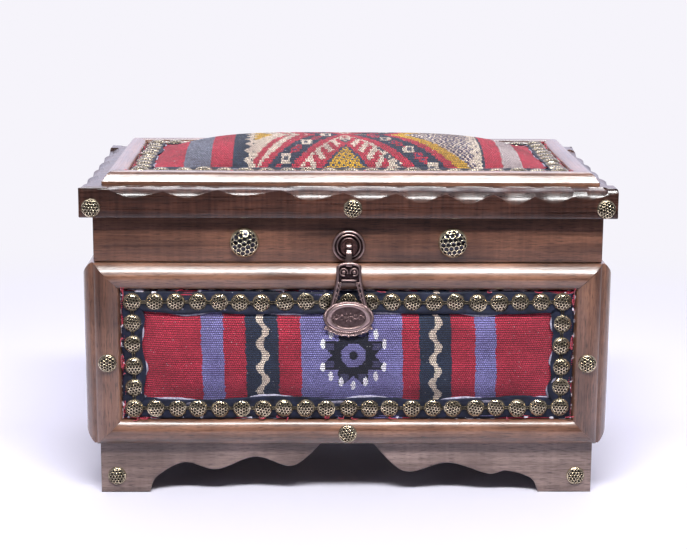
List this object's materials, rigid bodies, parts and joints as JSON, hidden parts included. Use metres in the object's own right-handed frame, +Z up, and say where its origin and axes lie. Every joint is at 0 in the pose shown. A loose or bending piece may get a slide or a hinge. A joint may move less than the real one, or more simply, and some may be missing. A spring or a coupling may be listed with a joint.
{
  "type": "textile-covered wooden box",
  "caption": "small hinged wooden chest with padded kilim panels, honeycomb nail borders, mitred mouldings, bracket feet and a copper drop pull",
  "frame": {"origin": "on the floor under the middle of the box, pull included", "axes": "+X to the right, +Y to the back, +Z up; the front with the drop pull faces -Y"},
  "size_m": [0.3106, 0.1836, 0.2048],
  "materials": {
    "walnut_case": "stained and varnished walnut-like wood",
    "frame_moulding": "stained and varnished moulding, lighter",
    "apron_wood": "stained wood, duller",
    "kilim": "flat-woven wool kilim, striped",
    "batting": "cotton batting",
    "antique_brass": "antique brass, honeycomb stamped",
    "antique_copper": "antique copper plating",
    "hinge_steel": "aged steel"
  },
  "bodies": {
    "carcass": {"front_board": "walnut_case", "back_board": "walnut_case", "left_board": "walnut_case", "right_board": "walnut_case", "bottom_board": "walnut_case", "corner_blocks": "walnut_case", "foot_front_left": "apron_wood", "foot_front_right": "apron_wood", "foot_back_left": "apron_wood", "foot_back_right": "apron_wood", "skirt_left": "apron_wood", "skirt_right": "apron_wood", "front_frame_bottom": "frame_moulding", "front_frame_top": "frame_moulding", "front_frame_left": "frame_moulding", "front_frame_right": "frame_moulding", "front_batting": "batting", "front_kilim": "kilim", "front_nail_strip": "antique_brass", "left_frame_bottom": "frame_moulding", "left_frame_top": "frame_moulding", "left_frame_left": "frame_moulding", "left_frame_right": "frame_moulding", "left_batting": "batting", "left_kilim": "kilim", "left_nail_strip": "antique_brass", "right_frame_bottom": "frame_moulding", "right_frame_top": "frame_moulding", "right_frame_left": "frame_moulding", "right_frame_right": "frame_moulding", "right_batting": "batting", "right_kilim": "kilim", "right_nail_strip": "antique_brass", "frame_nails": "antique_brass", "foot_nails": "antique_brass", "hinge_lower_leaves": "hinge_steel", "hinge_pins": "hinge_steel", "hinge_lower_screws": "hinge_steel"},
    "lid": {"lid_top": "walnut_case", "lid_rim_front": "walnut_case", "lid_rim_back": "walnut_case", "lid_rim_left": "walnut_case", "lid_rim_right": "walnut_case", "lid_moulding_front": "frame_moulding", "lid_moulding_back": "frame_moulding", "lid_moulding_left": "frame_moulding", "lid_moulding_right": "frame_moulding", "lid_batting": "batting", "lid_kilim": "kilim", "lid_nail_strip": "antique_brass", "lid_edge_nails": "antique_brass", "rim_dome_nails": "antique_brass", "hinge_upper_leaves": "hinge_steel", "hinge_upper_screws": "hinge_steel", "pull_rosette": "antique_copper", "pull_post": "antique_copper", "pull_washer": "antique_copper", "pull_pin": "antique_copper"},
    "pull": {"pull_pendant": "antique_copper", "pull_medallion": "antique_copper"}
  },
  "joints": [
    {"name": "lid_hinge", "type": "hinge", "parent": "carcass", "child": "lid", "pos_m": [0, 0.08745, 0.14065], "axis": [-1, 0, 0], "range_deg": [0, 100]},
    {"name": "pull_swing", "type": "hinge", "parent": "lid", "child": "pull", "pos_m": [0, -0.08675, 0.1508], "axis": [-1, 0, 0], "range_deg": [0, 85]}
  ]
}
